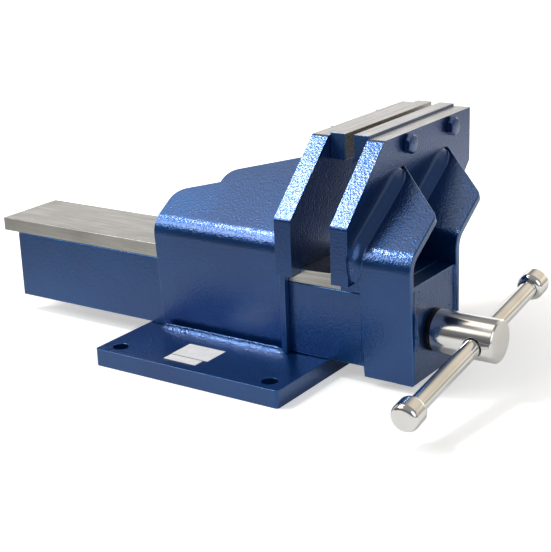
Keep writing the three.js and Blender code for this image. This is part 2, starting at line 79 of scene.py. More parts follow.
# welds: the length of each side of the fillet, and its surface
foot_leg = 6.0 * MM  # side plates to the base
cheek_leg = 12.5 * MM  # cheeks to the moving jaw plate
jaw_leg = 7.0 * MM  # side plates to the fixed jaw plate
tack_leg = 6.0 * MM  # short lumpy weld beside the thrust washer
seam_leg = 2.4 * MM  # small seams round the front plate and the slide
weld_sink = 0.10  # share of the leg that a fillet reaches into its corner
bulging = 0.80  # fillet outlines: below 1 they bulge, above 1 they are hollow
hollow = 1.75
taper_legs = 2.4  # a fillet's ends taper over this many legs
taper_tip = 0.02  # share of the leg that is left at the very end
bead_step = 0.85 * MM
ripple_pitch = 3.8 * MM
lump_scale = 85.0
foot_ripples = (0.005, 0.16)  # share of the leg in ripples and in lumps: the welds at the side plates' feet
smooth_ripples = (0.001, 0.10)  # the long welds of the jaws
tack_ripples = (0.006, 0.45)  # the small welds of the moving jaw's box

# where the welds end
weld_end_gap = 2 * MM
cheek_weld_gap = 3 * MM
cheek_weld_rise = 124 * MM  # how far up the cheeks' lean they run
jaw_weld_share = 0.86  # share of the body sides' height above the keeper plate that the jaw's welds climb
tack_rise = 12 * MM  # how far above the thrust washer's own height the short weld sits

# the bent plates, as they are bent in the part itself
lean = math.radians(32)
bend_radius = 26 * MM
bend_above_keeper = 2.3 * MM

# insert bolts: M12 with a 19 mm hexagon
hexagon_across_flats = 19 * MM
bolt_shank_radius = 6 * MM
bolt_tip_chamfer = 1.5 * MM
hexagon_chamfer = math.radians(30)
bolt_face_round = 0.5 * MM
bolt_gap = 0.1 * MM  # between a bolt's head and the plate, which only touch
bolt_shading_break = math.radians(24)

# lead screw thread
thread_pitch = 6 * MM
thread_depth = 3 * MM
thread_runout = 12 * MM  # plain length behind the retaining collar
thread_root = 2.3 * MM  # half the ridge's width at the core, and at its crest
thread_crest = 0.9 * MM
thread_bite = 0.4 * MM  # how far the ridge reaches into the core
screw_tip_chamfer = 3 * MM
spigot_radius = 12 * MM
spigot_gap = 0.3 * MM

# weld spatter
spatter_radii = (0.25 * MM, 0.75 * MM)
spatter_reach = 62 * MM  # how far it lies from the foot welds
spatter_past_front = 20 * MM
spatter_strip = 16 * MM  # width of the strips along the front plate's edges
spatter_above_foot = 36 * MM  # the strips' ends, from the front plate's foot and top
spatter_below_top = 4.8 * MM

# ---------------------------------------------------------------- small tools for node trees


def link(tree, out, into):
    tree.links.new(out, into)


def add_node(tree, kind, values=None, **settings):
    """A node with its settings and its inputs' values. A value that is a socket is linked."""
    made = tree.nodes.new(kind)
    for name, value in settings.items():
        setattr(made, name, value)
    for name, value in (values or {}).items():
        if isinstance(value, bpy.types.NodeSocket):
            link(tree, value, made.inputs[name])
        else:
            made.inputs[name].default_value = value
    return made


def calculate(tree, operation, a, b=None, clamp=False):
    values = {0: a} if b is None else {0: a, 1: b}
    return add_node(tree, "ShaderNodeMath", values, operation=operation, use_clamp=clamp).outputs[0]


def map_range(tree, value, low, high, to_low=0.0, to_high=1.0):
    """The value eased from one range to the other, and held at both ends."""
    made = add_node(
        tree,
        "ShaderNodeMapRange",
        {"Value": value, "From Min": low, "From Max": high, "To Min": to_low, "To Max": to_high},
        interpolation_type="SMOOTHSTEP",
    )
    return made.outputs["Result"]


def mix_colour(tree, factor, a, b):
    # a Mix node's inputs for colours are numbers 6 and 7, and its colour output is number 2
    return add_node(tree, "ShaderNodeMix", {0: factor, 6: a, 7: b}, data_type="RGBA").outputs[2]


def noise(tree, place, scale, detail=2.0, roughness=0.5):
    return add_node(
        tree,
        "ShaderNodeTexNoise",
        {"Vector": place, "Scale": scale, "Detail": detail, "Roughness": roughness},
    ).outputs["Fac"]


def new_group(name, inputs, outputs):
    """An empty shader node group, with its input and output nodes' sockets by name."""
    group = bpy.data.node_groups.new(name, "ShaderNodeTree")
    kinds = {"value": "NodeSocketFloat", "vector": "NodeSocketVector", "colour": "NodeSocketColor"}
    for label, (kind, default) in inputs.items():
        socket = group.interface.new_socket(label, in_out="INPUT", socket_type=kinds[kind])
        if default is not None:
            socket.default_value = default
    for label, kind in outputs.items():
        group.interface.new_socket(label, in_out="OUTPUT", socket_type=kinds[kind])
    given = group.nodes.new("NodeGroupInput")
    result = group.nodes.new("NodeGroupOutput")
    return group, given.outputs, result.inputs


def use_group(tree, group, values):
    return add_node(tree, "ShaderNodeGroup", values, node_tree=group).outputs


def new_material(name, colour, metallic, roughness):
    material = bpy.data.materials.new(name)
    material.use_nodes = True
    tree = material.node_tree
    shader = tree.nodes["Principled BSDF"]
    shader.inputs["Base Color"].default_value = (*colour, 1)
    shader.inputs["Metallic"].default_value = metallic
    shader.inputs["Roughness"].default_value = roughness
    place = tree.nodes.new("ShaderNodeTexCoord").outputs["Object"]
    return material, tree, shader, place


def bump(tree, height, strength, distance, shader):
    made = add_node(tree, "ShaderNodeBump", {"Height": height, "Strength": strength, "Distance": distance})
    link(tree, made.outputs["Normal"], shader.inputs["Normal"])
    return made.outputs["Normal"]


# ---------------------------------------------------------------- effects that several finishes share


def orange_peel_group():
    """The dimpled skin of sprayed enamel: broad shallow dimples with finer ones between them."""
    group, given, result = new_group(
        "orange_peel",
        {"Place": ("vector", None), "Scale": ("value", 230.0), "Fine Share": ("value", 0.35)},
        {"Height": "value"},
    )
    broad = noise(group, given["Place"], 1.0, 1.0)
    link(group, given["Scale"], broad.node.inputs["Scale"])
    fine = noise(group, given["Place"], 1.0, 2.0)
    link(group, calculate(group, "MULTIPLY", given["Scale"], 2.7), fine.node.inputs["Scale"])
    share = calculate(group, "MULTIPLY", fine, given["Fine Share"])
    link(group, calculate(group, "ADD", broad, share), result["Height"])
    return group


def nicks_group():
    """Small bare nicks along rounded edges: 1 where the finish is knocked off. Rim is 1 on the roundings."""
    group, given, result = new_group(
        "edge_nicks",
        {
            "Place": ("vector", None),
            "Rim": ("value", 0.0),
            "Amount": ("value", 0.3),
            "Scale": ("value", 160.0),
        },
        {"Mask": "value"},
    )
    spots = noise(group, given["Place"], 1.0, 3.0, 0.6)
    link(group, given["Scale"], spots.node.inputs["Scale"])
    limit = calculate(group, "SUBTRACT", 0.80, calculate(group, "MULTIPLY", given["Amount"], 0.3))
    above = calculate(group, "SUBTRACT", spots, limit)
    sharp = calculate(group, "MULTIPLY", above, 25.0, clamp=True)
    link(group, calculate(group, "MULTIPLY", sharp, given["Rim"]), result["Mask"])
    return group


def grain_group():
    """Fine marks left by machining or polishing, drawn out along the axis with the small stretch value."""
    group, given, result = new_group(
        "tool_marks",
        {"Place": ("vector", None), "Stretch": ("vector", (30.0, 900.0, 900.0))},
        {"Marks": "value", "Clouds": "value"},
    )
    scaled = add_node(group, "ShaderNodeVectorMath", operation="MULTIPLY")
    link(group, given["Place"], scaled.inputs[0])
    link(group, given["Stretch"], scaled.inputs[1])
    marks = noise(group, scaled.outputs[0], 1.0, 3.0, 0.65)
    link(group, marks, result["Marks"])
    clouds = noise(group, given["Place"], 14.0, 2.0)
    link(group, clouds, result["Clouds"])
    return group


orange_peel = orange_peel_group()
edge_nicks = nicks_group()
tool_marks = grain_group()

# ---------------------------------------------------------------- finishes


def hammered_blue(name, dimple_scale, dimple_strength):
    """Dark blue metallic enamel under a glossy coat."""
    material, tree, shader, place = new_material(name, (0.005, 0.062, 0.23), 0.85, 0.34)
    shader.inputs["Coat Weight"].default_value = 1.0
    shader.inputs["Coat Roughness"].default_value = 0.12
    shader.inputs["Coat IOR"].default_value = 1.5
    rim = add_node(tree, "ShaderNodeAttribute", attribute_name="rim").outputs["Fac"]
    nicked = use_group(tree, edge_nicks, {"Place": place, "Rim": rim, "Amount": 0.32})["Mask"]
    patches = noise(tree, place, 9.0, 3.0)
    deep = mix_colour(
        tree,
        map_range(tree, patches, 0.3, 0.7),
        (0.002, 0.049, 0.198, 1),
        (0.003, 0.071, 0.256, 1),
    )
    # painted highlight: a lighter cyan-blue is mixed into the enamel on the rounded edges
    edge_highlight_tint = mix_colour(tree, calculate(tree, "MULTIPLY", rim, 0.55), deep, (0.025, 0.160, 0.420, 1))
    link(tree, mix_colour(tree, nicked, edge_highlight_tint, (0.50, 0.52, 0.56, 1)), shader.inputs["Base Color"])
    link(tree, map_range(tree, patches, 0.3, 0.7, 0.31, 0.37), shader.inputs["Roughness"])
    link(tree, calculate(tree, "SUBTRACT", 1.0, nicked), shader.inputs["Coat Weight"])
    height = use_group(tree, orange_peel, {"Place": place, "Scale": dimple_scale})["Height"]
    bump(tree, height, dimple_strength, 1.0 * MM, shader)
    flow = noise(tree, place, dimple_scale, 2.0)
    coat = add_node(
        tree,
        "ShaderNodeBump",
        {"Height": flow, "Strength": 1.3 * dimple_strength, "Distance": 1.0 * MM},
    )
    link(tree, coat.outputs["Normal"], shader.inputs["Coat Normal"])
    return material


def machined_steel(name, light, dark, roughness, stretch, marks_strength):
    """Bare steel with lengthwise tool marks and faint clouds of handling."""
    material, tree, shader, place = new_material(name, light, 1.0, roughness)
    effect = use_group(tree, tool_marks, {"Place": place, "Stretch": stretch})
    streaks = map_range(tree, effect["Marks"], 0.32, 0.68)
    clouds = map_range(tree, effect["Clouds"], 0.35, 0.70, 0.0, 0.55)
    mixed = calculate(tree, "ADD", calculate(tree, "MULTIPLY", streaks, 0.5), clouds, clamp=True)
    link(tree, mix_colour(tree, mixed, (*light, 1), (*dark, 1)), shader.inputs["Base Color"])
    spread = map_range(tree, effect["Marks"], 0.3, 0.7, roughness - 0.07, roughness + 0.08)
    link(tree, spread, shader.inputs["Roughness"])
    bump(tree, effect["Marks"], marks_strength, 0.15 * MM, shader)
    return material


def polished_chrome():
    """Bright plating over turned steel: faint rings from turning and a little haze."""
    material, tree, shader, place = new_material("bright_plated_steel", (0.86, 0.855, 0.84), 1.0, 0.08)
    effect = use_group(tree, tool_marks, {"Place": place, "Stretch": (700.0, 60.0, 60.0)})
    haze = map_range(tree, effect["Clouds"], 0.3, 0.75)
    plating = mix_colour(tree, haze, (0.90, 0.895, 0.885, 1), (0.78, 0.77, 0.745, 1))
    link(tree, plating, shader.inputs["Base Color"])
    fine = calculate(tree, "MULTIPLY", effect["Marks"], 0.05)
    spread = calculate(tree, "ADD", fine, map_range(tree, haze, 0, 1, 0.09, 0.17))
    link(tree, spread, shader.inputs["Roughness"])
    bump(tree, effect["Marks"], 0.05, 0.05 * MM, shader)
    return material


def label_film():
    """Silvery self-adhesive film, blank but for faint ruled lines across it."""
    material, tree, shader, place = new_material("blank_label_film", (0.97, 0.96, 0.97), 0.0, 0.30)
    parts = add_node(tree, "ShaderNodeSeparateXYZ", {"Vector": place})
    row = calculate(tree, "MULTIPLY", parts.outputs["Y"], 1 / (3.3 * MM))
    across = calculate(tree, "ABSOLUTE", calculate(tree, "SUBTRACT", calculate(tree, "FRACT", row), 0.5))
    ruled = calculate(tree, "LESS_THAN", across, 0.10)
    breaks = noise(tree, place, 95.0, 1.0)
    lines = calculate(tree, "MULTIPLY", ruled, map_range(tree, breaks, 0.44, 0.5))
    faint = calculate(tree, "MULTIPLY", lines, 0.5)
    grain = noise(tree, place, 320.0, 2.0)
    base = mix_colour(tree, grain, (0.95, 0.94, 0.95, 1), (1.0, 0.99, 1.0, 1))
    link(tree, mix_colour(tree, faint, base, (0.40, 0.40, 0.43, 1)), shader.inputs["Base Color"])
    bump(tree, grain, 0.15, 0.1 * MM, shader)
    return material


# how tool marks are drawn out: a small value along an axis makes them long that way
marks_along_x = (16, 700, 700)
marks_along_y = (650, 14, 650)
marks_round_x = (800, 60, 60)

paint = hammered_blue("hammered_blue_enamel", 420.0, 0.34)
weld_paint = hammered_blue("blue_enamel_on_welds", 420.0, 0.14)
rough_weld_paint = hammered_blue("blue_enamel_on_rough_welds", 330.0, 0.80)
strip_steel = machined_steel(
    "planed_strip_steel", (0.60, 0.585, 0.55), (0.43, 0.415, 0.385), 0.34, marks_along_x, 0.25
)
ground_steel = machined_steel(
    "ground_jaw_steel", (0.66, 0.65, 0.63), (0.50, 0.49, 0.475), 0.30, marks_along_y, 0.20
)
finishes = {
    "blue_paint": paint,
    "bare_steel": ground_steel,
    "chrome": polished_chrome(),
    "plain_steel": machined_steel(
        "turned_oiled_steel", (0.36, 0.35, 0.34), (0.22, 0.21, 0.20), 0.36, marks_round_x, 0.3
    ),
    "dark_steel": machined_steel(
        "blackened_steel", (0.045, 0.045, 0.05), (0.02, 0.02, 0.024), 0.42, (200, 200, 200), 0.3
    ),
    "bronze": machined_steel(
        "turned_bronze", (0.52, 0.32, 0.12), (0.36, 0.20, 0.07), 0.34, marks_round_x, 0.3
    ),
    "label": label_film(),
}

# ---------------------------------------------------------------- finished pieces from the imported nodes


def bake_modifiers(holder):
    """Replaces an object's mesh by what its modifiers make of it, and removes them."""
    bpy.context.view_layer.update()
    evaluated = holder.evaluated_get(bpy.context.evaluated_depsgraph_get())
    result = bpy.data.meshes.new_from_object(evaluated)
    holder.modifiers.clear()
    holder.data = result
    return holder


def finish_mesh(name, mesh):
    """The mesh with its faces shaded smoothly, each corner's normal following the larger faces."""
    mesh.set_sharp_from_angle(angle=shading_break)
    holder = bpy.data.objects.new(name, mesh)
    bpy.context.scene.collection.objects.link(holder)
    weighted = holder.modifiers.new("weighted_normals", "WEIGHTED_NORMAL")
    weighted.keep_sharp = True
    return bake_modifiers(holder)


def round_knees(form):
    """Rounds a jaw plate's blunt corners, which run along X at the ends of its cropped corners."""
    knees = []
    for edge in form.edges:
        runs_along_x = abs((edge.verts[1].co - edge.verts[0].co).normalized().x) > 0.99
        if runs_along_x and edge.is_manifold and sharp_angle < edge.calc_face_angle() < 2 * sharp_angle:
            knees.append(edge)
    bmesh.ops.bevel(
        form,
        geom=knees,
        offset=knee_radius * math.tan(knee_turn / 2),
        offset_type="OFFSET",
        segments=knee_steps,
        profile=0.5,
        affect="EDGES",
    )


def soften(name, edge, cut=None):
    """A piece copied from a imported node: its triangles merged into plain faces and its edges rounded."""
    mesh = bpy.data.meshes.new(f"{name}_finished")
    form = bmesh.new()
    form.from_mesh(nodes[name].data)
    bmesh.ops.remove_doubles(form, verts=form.verts, dist=merge_distance)
    bmesh.ops.dissolve_limit(form, angle_limit=flat_enough, verts=form.verts, edges=form.edges)
    if cut is not None:
        everything = form.verts[:] + form.edges[:] + form.faces[:]
        bmesh.ops.bisect_plane(form, geom=everything, plane_co=cut, plane_no=(1, 0, 0))
    if name.endswith("jaw_plate"):
        round_knees(form)
    rim = form.loops.layers.float.new("rim")
    sharp = [e for e in form.edges if e.is_manifold and e.calc_face_angle() > sharp_angle]
    if edge > 0 and sharp:
        rounded = bmesh.ops.bevel(
            form,
            geom=sharp,
            offset=edge,
            offset_type="OFFSET",
            segments=edge_steps,
            profile=0.5,
            affect="EDGES",
            clamp_overlap=True,
        )
        for face in rounded["faces"]:
            for loop in face.loops:
                loop[rim] = 1.0
    bmesh.ops.recalc_face_normals(form, faces=form.faces)
    for face in form.faces:
        face.smooth = True
    form.to_mesh(mesh)
    form.free()
    return finish_mesh(f"{name}_finished", mesh)


def settle(piece, body, slot, *replaced):
    """Puts a finished piece on its body and hides the nodes that it stands for."""
    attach(piece, body)
    if replaced:
        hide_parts(*replaced)
    return piece


def give_zones(piece, main, other, belongs):
    """The main finish all over, and the other one on the faces that belong(centre, normal) picks."""
    mesh = piece.data
    mesh.materials.clear()
    mesh.materials.append(main)
    mesh.materials.append(other)
    for face in mesh.polygons:
        face.material_index = 1 if belongs(face.center, face.normal) else 0


def softened_nodes():
    made_otherwise = {"lead_screw"} | {name for name in nodes if "insert_bolt" in name}
    strip_paint_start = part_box("moving_jaw_plate")[0].x + bare_strip_end
    for name in sorted(nodes):
        if name in made_otherwise:
            continue
        slot = slot_of[name]
        cut = (strip_paint_start, 0, 0) if name == "wear_strip" else None
        piece = soften(name, edge_of_slot[slot], cut)
        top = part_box(name)[1].z
        if name in ("fixed_jaw_plate", "moving_jaw_plate"):
            give_zones(piece, paint, ground_steel, lambda at, out: out.z > 0.9 and at.z > top - 0.5 * MM)
        elif name == "wear_strip":
            give_zones(piece, strip_steel, paint, lambda at, out: at.x > strip_paint_start)
        elif name in ("fixed_jaw_insert", "moving_jaw_insert"):
            painted_side = 1 if name == "moving_jaw_insert" else -1
            give_zones(
                piece,
                ground_steel,
                paint,
                lambda at, out, side=painted_side: out.y < -0.5 or out.x * side > 0.5,
            )
        else:
            piece.data.materials.clear()
            piece.data.materials.append(finishes[slot])
        settle(piece, body_of[name], slot, name)


softened_nodes()

# ---------------------------------------------------------------- geometry node trees


def new_tree(name, inputs):
    """An empty geometry tree with a geometry input and output, and its named inputs' identifiers."""
    tree = bpy.data.node_groups.new(name, "GeometryNodeTree")
    tree.interface.new_socket("Geometry", in_out="INPUT", socket_type="NodeSocketGeometry")
    names = {}
    for label, kind in inputs.items():
        names[label] = tree.interface.new_socket(label, in_out="INPUT", socket_type=kind).identifier
    tree.interface.new_socket("Geometry", in_out="OUTPUT", socket_type="NodeSocketGeometry")
    return tree, tree.nodes.new("NodeGroupInput").outputs, tree.nodes.new("NodeGroupOutput").inputs, names


def grow(name, seed_mesh, tree, names, values):
    """Runs a geometry tree on a seed mesh and keeps the plain mesh that it makes."""
    holder = bpy.data.objects.new(name, seed_mesh)
    modifier = holder.modifiers.new(tree.name, "NODES")
    modifier.node_group = tree
    for label, value in values.items():
        modifier[names[label]] = value
    bpy.context.scene.collection.objects.link(holder)
    return bake_modifiers(holder)


def realize(tree, geometry, material, into):
    real = add_node(tree, "GeometryNodeRealizeInstances", {"Geometry": geometry})
    smooth = add_node(tree, "GeometryNodeSetShadeSmooth", {"Geometry": real.outputs[0]})
    values = {"Geometry": smooth.outputs[0], "Material": material}
    link(tree, add_node(tree, "GeometryNodeSetMaterial", values).outputs[0], into)


def weld_bead_tree():
    """A lumpy fillet along each path. Its section's X side follows the path's own side vector, and it is
    as large as the path's leg value, with tapered ends."""
    tree, given, result, names = new_tree(
        "weld_bead",
        {
            "Section": "NodeSocketObject",
            "Ripple Pitch": "NodeSocketFloat",
            "Ripple Depth": "NodeSocketFloat",
            "Lumpiness": "NodeSocketFloat",
            "Material": "NodeSocketMaterial",
        },
    )
    curve = add_node(tree, "GeometryNodeMeshToCurve", {"Mesh": given["Geometry"]})
    fine = add_node(tree, "GeometryNodeResampleCurve", {"Curve": curve.outputs[0]}, mode="LENGTH")
    fine.inputs["Length"].default_value = bead_step
    leg = add_node(tree, "GeometryNodeInputNamedAttribute", {"Name": "leg"}, data_type="FLOAT").outputs[0]
    along = add_node(tree, "GeometryNodeSplineParameter").outputs["Length"]
    total = add_node(tree, "GeometryNodeSplineLength").outputs["Length"]
    turns = calculate(tree, "MULTIPLY", calculate(tree, "DIVIDE", along, given["Ripple Pitch"]), 2 * math.pi)
    ripple = calculate(tree, "MULTIPLY", calculate(tree, "SINE", turns), given["Ripple Depth"])
    lumps = add_node(tree, "ShaderNodeTexNoise", {"Scale": lump_scale, "Detail": 1.5})
    unevenness = calculate(tree, "SUBTRACT", lumps.outputs["Fac"], 0.5)
    lump = calculate(tree, "MULTIPLY", unevenness, given["Lumpiness"])
    swell = calculate(tree, "ADD", 1.0, calculate(tree, "ADD", ripple, lump))
    nearest_end = calculate(tree, "MINIMUM", along, calculate(tree, "SUBTRACT", total, along))
    taper_length = calculate(tree, "MULTIPLY", leg, taper_legs)
    share = calculate(tree, "DIVIDE", nearest_end, taper_length, clamp=True)
    flat_side = calculate(tree, "SUBTRACT", 1.0, share)
    rounding = calculate(tree, "SUBTRACT", 1.0, calculate(tree, "MULTIPLY", flat_side, flat_side))
    taper = calculate(tree, "ADD", calculate(tree, "SQRT", rounding), taper_tip)
    size = calculate(tree, "MULTIPLY", calculate(tree, "MULTIPLY", leg, swell), taper)
    side = add_node(
        tree,
        "GeometryNodeInputNamedAttribute",
        {"Name": "side"},
        data_type="FLOAT_VECTOR",
    ).outputs[0]
    turned = add_node(
        tree,
        "GeometryNodeSetCurveNormal",
        {"Curve": fine.outputs[0], "Normal": side},
        mode="FREE",
    )
    section = add_node(tree, "GeometryNodeObjectInfo", {"Object": given["Section"]})
    outline = add_node(tree, "GeometryNodeMeshToCurve", {"Mesh": section.outputs["Geometry"]})
    bead = add_node(
        tree,
        "GeometryNodeCurveToMesh",
        {
            "Curve": turned.outputs[0],
            "Profile Curve": outline.outputs[0],
            "Scale": size,
            "Fill Caps": True,
        },
    )
    realize(tree, bead.outputs[0], given["Material"], result["Geometry"])
    return tree, names


def scatter_tree():
    """Small round beads of spatter thrown over the seed faces."""
    tree, given, result, names = new_tree(
        "weld_spatter",
        {
            "Density": "NodeSocketFloat",
            "Smallest": "NodeSocketFloat",
            "Largest": "NodeSocketFloat",
            "Seed": "NodeSocketInt",
            "Material": "NodeSocketMaterial",
        },
    )
    points = add_node(
        tree,
        "GeometryNodeDistributePointsOnFaces",
        {"Mesh": given["Geometry"], "Density": given["Density"], "Seed": given["Seed"]},
    )
    drop = add_node(tree, "GeometryNodeMeshIcoSphere", {"Radius": 1.0, "Subdivisions": 2})
    size = add_node(tree, "FunctionNodeRandomValue", data_type="FLOAT")
    link(tree, given["Smallest"], size.inputs[2])
    link(tree, given["Largest"], size.inputs[3])
    link(tree, given["Seed"], size.inputs["Seed"])
    drops = add_node(
        tree,
        "GeometryNodeInstanceOnPoints",
        {"Points": points.outputs[0], "Instance": drop.outputs[0], "Scale": size.outputs[1]},
    )
    realize(tree, drops.outputs[0], given["Material"], result["Geometry"])
    return tree, names


def bolt_row_tree():
    """The bolt handed in as an object, placed on each point of the seed."""
    tree, given, result, names = new_tree(
        "bolt_row",
        {"Bolt": "NodeSocketObject", "Turn": "NodeSocketRotation", "Material": "NodeSocketMaterial"},
    )
    bolt = add_node(tree, "GeometryNodeObjectInfo", {"Object": given["Bolt"]})
    placed = add_node(
        tree,
        "GeometryNodeInstanceOnPoints",
        {"Points": given["Geometry"], "Instance": bolt.outputs["Geometry"], "Rotation": given["Turn"]},
    )
    realize(tree, placed.outputs[0], given["Material"], result["Geometry"])
    return tree, names


def thread_tree():
    """A right-hand thread ridge round X: its section is a trapezoid that stands on the core."""
    tree, given, result, names = new_tree(
        "screw_thread",
        {
            "Core Radius": "NodeSocketFloat",
            "Pitch": "NodeSocketFloat",
            "Length": "NodeSocketFloat",
            "Start": "NodeSocketVector",
            "Material": "NodeSocketMaterial",
        },
    )
    turns = calculate(tree, "DIVIDE", given["Length"], given["Pitch"])
    helix = add_node(
        tree,
        "GeometryNodeCurveSpiral",
        {
            "Resolution": 28,
            "Rotations": turns,
            "Start Radius": given["Core Radius"],
            "End Radius": given["Core Radius"],
            "Height": given["Length"],
        },
    )
    upright = add_node(tree, "GeometryNodeSetCurveNormal", {"Curve": helix.outputs[0]}, mode="Z_UP")
    section = add_node(tree, "GeometryNodeMeshToCurve", {"Mesh": given["Geometry"]})
    ridge = add_node(
        tree,
        "GeometryNodeCurveToMesh",
        {"Curve": upright.outputs[0], "Profile Curve": section.outputs[0], "Fill Caps": True},
    )
    laid = add_node(
        tree,
        "GeometryNodeTransform",
        {"Geometry": ridge.outputs[0], "Rotation": (0, math.pi / 2, 0), "Translation": given["Start"]},
    )
    realize(tree, laid.outputs[0], given["Material"], result["Geometry"])
    return tree, names


# ---------------------------------------------------------------- weld beads


def bent_outline(outer_y, lowest, up_lean):
    """Points (y, z) up the outer face of a bent plate: upright, round the bend, then up the lean."""
    bend_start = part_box("slide_keeper_plate")[1].z + bend_above_keeper
    centre = Vector((outer_y + bend_radius, bend_start))
    turn = math.pi / 2 - lean
    points = [Vector((outer_y, lowest)), Vector((outer_y, bend_start))]
    steps = 8
    for step in range(1, steps + 1):
        angle = math.pi - turn * step / steps
        points.append(centre + bend_radius * Vector((math.cos(angle), math.sin(angle))))
    tangent = bend_radius * math.tan(turn / 2)
    points.append(points[-1] + (up_lean - tangent) * Vector((math.cos(lean), math.sin(lean))))
    return points


def fillet_section(name, power):
    """A fillet of unit legs along X and Y from its corner, reaching a little past both sides."""
    steps = 8
    points = [(-weld_sink, -weld_sink, 0), (1, -weld_sink, 0)]
    for step in range(steps + 1):
        y = (1 - math.cos(math.pi * step / steps)) / 2
        x = 1 - (1 - (1 - y) ** power) ** (1 / power)
        points.append((x, y, 0))
    points.append((-weld_sink, 1, 0))
    mesh = bpy.data.meshes.new(name)
    mesh.from_pydata(points, [(i, (i + 1) % len(points)) for i in range(len(points))], [])
    return bpy.data.objects.new(name, mesh)


def paths_mesh(name, paths):
    """Polylines as one mesh of edges. Each path is (leg, side, points), and its points keep both values."""
    mesh = bpy.data.meshes.new(name)
    points = []
    edges = []
    legs = []
    sides = []
    for leg, side, path in paths:
        start = len(points)
        points += [Vector(p) for p in path]
        legs += [leg] * len(path)
        sides += list(side) * len(path)
        edges += [(start + i, start + i + 1) for i in range(len(path) - 1)]
    mesh.from_pydata(points, edges, [])
    mesh.attributes.new("leg", "FLOAT", "POINT").data.foreach_set("value", legs)
    mesh.attributes.new("side", "FLOAT_VECTOR", "POINT").data.foreach_set("vector", sides)
    return mesh


def foot_paths():
    """Along the foot of both side plates."""
    low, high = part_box("body_side_near")
    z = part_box("base_plate")[1].z
    face = abs(low.y)
    rear, front = low.x + weld_end_gap, high.x - weld_end_gap
    up = (0, 0, 1)
    return [
        (foot_leg, up, [(rear, -face, z), (front, -face, z)]),
        (foot_leg, up, [(front, face, z), (rear, face, z)]),
    ]


def fixed_jaw_paths():
    """Up the outer faces of the body's side plates, behind the fixed jaw plate."""
    jaw_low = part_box("fixed_jaw_plate")[0]
    bottom = jaw_low.z + weld_end_gap
    paths = []
    for name in ("body_side_near", "body_side_far"):
        low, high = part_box(name)
        up_lean = jaw_weld_share * (high.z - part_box("slide_keeper_plate")[1].z) / math.sin(lean)
        outline = bent_outline(low.y, bottom, up_lean)
        paths.append((jaw_leg, (-1, 0, 0), [(jaw_low.x, y, z) for y, z in outline]))
    return paths


def cheek_paths():
    """Down the outer faces of the cheeks, in front of the moving jaw plate."""
    jaw_low, jaw_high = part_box("moving_jaw_plate")
    paths = []
    for name in ("cheek_near", "cheek_far"):
        outline = bent_outline(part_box(name)[0].y, jaw_low.z + cheek_weld_gap, cheek_weld_rise)
        paths.append((cheek_leg, (1, 0, 0), [(jaw_high.x, y, z) for y, z in reversed(outline)]))
    return paths


def box_paths():
    """Small seams round the moving jaw's box, and a short lumpy weld beside the thrust washer."""
    low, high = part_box("front_plate")
    jaw_low, jaw_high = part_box("moving_jaw_plate")
    slide_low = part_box("slide_side_near")[0]
    rear = jaw_high.x + 7 * MM
    x = high.x
    washer_low, washer_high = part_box("thrust_washer")
    out, back = (1, 0, 0), (-1, 0, 0)
    near = [(x, low.y, low.z + 2 * weld_end_gap), (x, low.y, high.z)]
    far = [(x, high.y, high.z), (x, high.y, low.z + 2 * weld_end_gap)]
    tack = [(x, low.y, washer_low.z + tack_rise), (x, low.y, washer_high.z + tack_rise)]
    foot = [(rear, slide_low.y, slide_low.z + 6 * MM), (rear, slide_low.y, jaw_low.z - 5 * MM)]
    return [(seam_leg, out, near), (seam_leg, out, far), (tack_leg, out, tack), (seam_leg, back, foot)]


def weld_beads():
    tree, names = weld_bead_tree()
    bulging_section = fillet_section("bulging_fillet", bulging)
    hollow_section = fillet_section("hollow_fillet", hollow)
    for body, name, section, (ripples, lumps), finish, paths in (
        ("body", "side_plate_foot_welds", hollow_section, foot_ripples, rough_weld_paint, foot_paths()),
        ("body", "fixed_jaw_welds", hollow_section, smooth_ripples, weld_paint, fixed_jaw_paths()),
        ("moving_jaw", "cheek_welds", hollow_section, smooth_ripples, weld_paint, cheek_paths()),
        ("moving_jaw", "front_box_welds", bulging_section, tack_ripples, rough_weld_paint, box_paths()),
    ):
        values = {
            "Section": section,
            "Ripple Pitch": ripple_pitch,
            "Ripple Depth": ripples,
            "Lumpiness": lumps,
            "Material": finish,
        }
        piece = grow(name, paths_mesh(f"{name}_paths", paths), tree, names, values)
        settle(piece, body, "blue_paint")
    bpy.data.objects.remove(bulging_section)
    bpy.data.objects.remove(hollow_section)


weld_beads()


def quads_mesh(name, quads):
    mesh = bpy.data.meshes.new(name)
    points = [corner for quad in quads for corner in quad]
    mesh.from_pydata(points, [], [tuple(range(4 * i, 4 * i + 4)) for i in range(len(quads))])
    return mesh


def weld_spatter():
    """Sparse spatter on the base beside the foot welds, and round the front plate's seams."""
    tree, names = scatter_tree()
    side_low, side_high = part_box("body_side_near")
    plate_low, plate_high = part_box("front_plate")
    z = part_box("base_plate")[1].z
    rear, front = side_low.x, side_high.x + spatter_past_front
    on_base = []
    for side in (-1, 1):
        inner = side * (abs(side_low.y) + 2 * foot_leg)
        a, b = sorted((inner, inner + side * spatter_reach))
        on_base.append([(rear, a, z), (front, a, z), (front, b, z), (rear, b, z)])
    x = plate_high.x
    bottom, top = plate_low.z + spatter_above_foot, plate_high.z - spatter_below_top
    on_front = []
    for a in (plate_low.y, plate_high.y - spatter_strip):
        b = a + spatter_strip
        on_front.append([(x, a, bottom), (x, b, bottom), (x, b, top), (x, a, top)])
    for body, name, quads, density, seed in (
        ("body", "spatter_on_base", on_base, 2600.0, 7),
        ("moving_jaw", "spatter_on_front_plate", on_front, 16000.0, 11),
    ):
        values = {
            "Density": density,
            "Smallest": spatter_radii[0],
            "Largest": spatter_radii[1],
            "Seed": seed,
            "Material": weld_paint,
        }
        settle(grow(name, quads_mesh(f"{name}_faces", quads), tree, names, values), body, "blue_paint")


weld_spatter()

# ---------------------------------------------------------------- insert bolts


